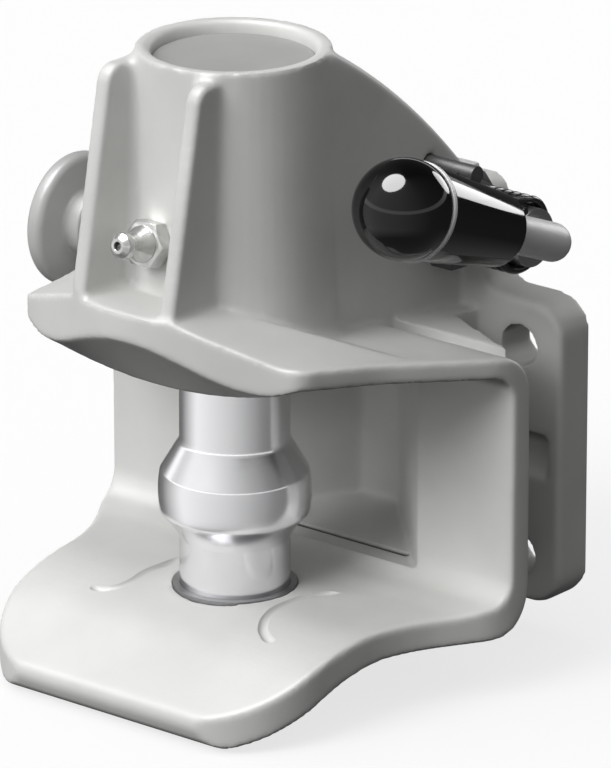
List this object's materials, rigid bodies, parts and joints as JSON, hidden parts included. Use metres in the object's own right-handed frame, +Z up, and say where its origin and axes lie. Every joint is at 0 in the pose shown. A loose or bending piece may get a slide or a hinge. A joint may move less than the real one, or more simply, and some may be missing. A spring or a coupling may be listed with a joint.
{
  "type": "automatic trailer coupling",
  "caption": "Jaw-type automatic trailer coupling for a drawbar eye: cast body, cambered drop pin, hand lever, closing spring, pull knob and bolt-on plate.",
  "frame": {"origin": "centre of the four-bolt pattern, on the rear face that bolts to the vehicle", "axes": "+Y towards the vehicle, normal to the mounting face; -Y out of the mouth towards the trailer; +Z up along the pin; +X to the side of the hand lever"},
  "size_m": [0.1388, 0.1245, 0.1632],
  "materials": {
    "cast_body": "light grey coating over cast steel",
    "bronze": "turned bearing bronze",
    "hard_steel": "ground hardened steel",
    "pin_steel": "polished hardened steel",
    "cover_grey": "grey coated sheet",
    "forged_steel": "forged, oiled",
    "black_steel": "phosphated dark",
    "seal_rubber": "matt",
    "spring_black": "black lacquered spring wire",
    "lever_grey": "satin grey coating",
    "grip_black": "glossy moulded plastic",
    "zinc": "bright zinc plate",
    "knob_grey": "satin grey coating"
  },
  "bodies": {
    "body": {"coupling_body": "cast_body", "tower_bush": "bronze", "lower_bush": "hard_steel", "top_cover": "cover_grey", "shaft_bush_right": "bronze", "shaft_bush_left": "bronze", "bearing_nut": "black_steel", "shaft_seal": "seal_rubber", "thrust_washer": "hard_steel", "shaft_end_cap": "cast_body", "closing_spring": "spring_black", "spring_peg": "hard_steel", "grease_nipple": "zinc", "nipple_ball": "hard_steel", "locking_sleeve": "zinc", "locking_spring": "spring_black"},
    "lever": {"lever_shaft": "hard_steel", "lift_finger": "forged_steel", "finger_pin": "hard_steel", "hand_lever": "lever_grey", "lever_grip": "grip_black"},
    "pin": {"coupling_pin": "pin_steel"},
    "lock": {"locking_bolt": "hard_steel", "locking_knob": "knob_grey", "knob_pin": "hard_steel"}
  },
  "joints": [
    {"name": "lever_turn", "type": "hinge", "parent": "body", "child": "lever", "pos_m": [0, -0.0185, 0.0605], "axis": [-1, 0, 0], "range_deg": [0, 50.95], "stiffness_Nm_per_rad": 2, "springref_deg": -45.84, "deforming": ["closing_spring"]},
    {"name": "pin_slide", "type": "slide", "parent": "body", "child": "pin", "axis": [0, 0, 1], "range_m": [0, 0.0481]},
    {"name": "lock_pull", "type": "slide", "parent": "body", "child": "lock", "axis": [-1, 0, 0], "range_m": [0, 0.008], "stiffness_N_per_m": 600, "springref_m": -0.006, "deforming": ["locking_spring"]}
  ],
  "couplings": [
    {"joint": "pin_slide", "follows": "lever_turn", "m_per_rad": 0.05398}
  ]
}
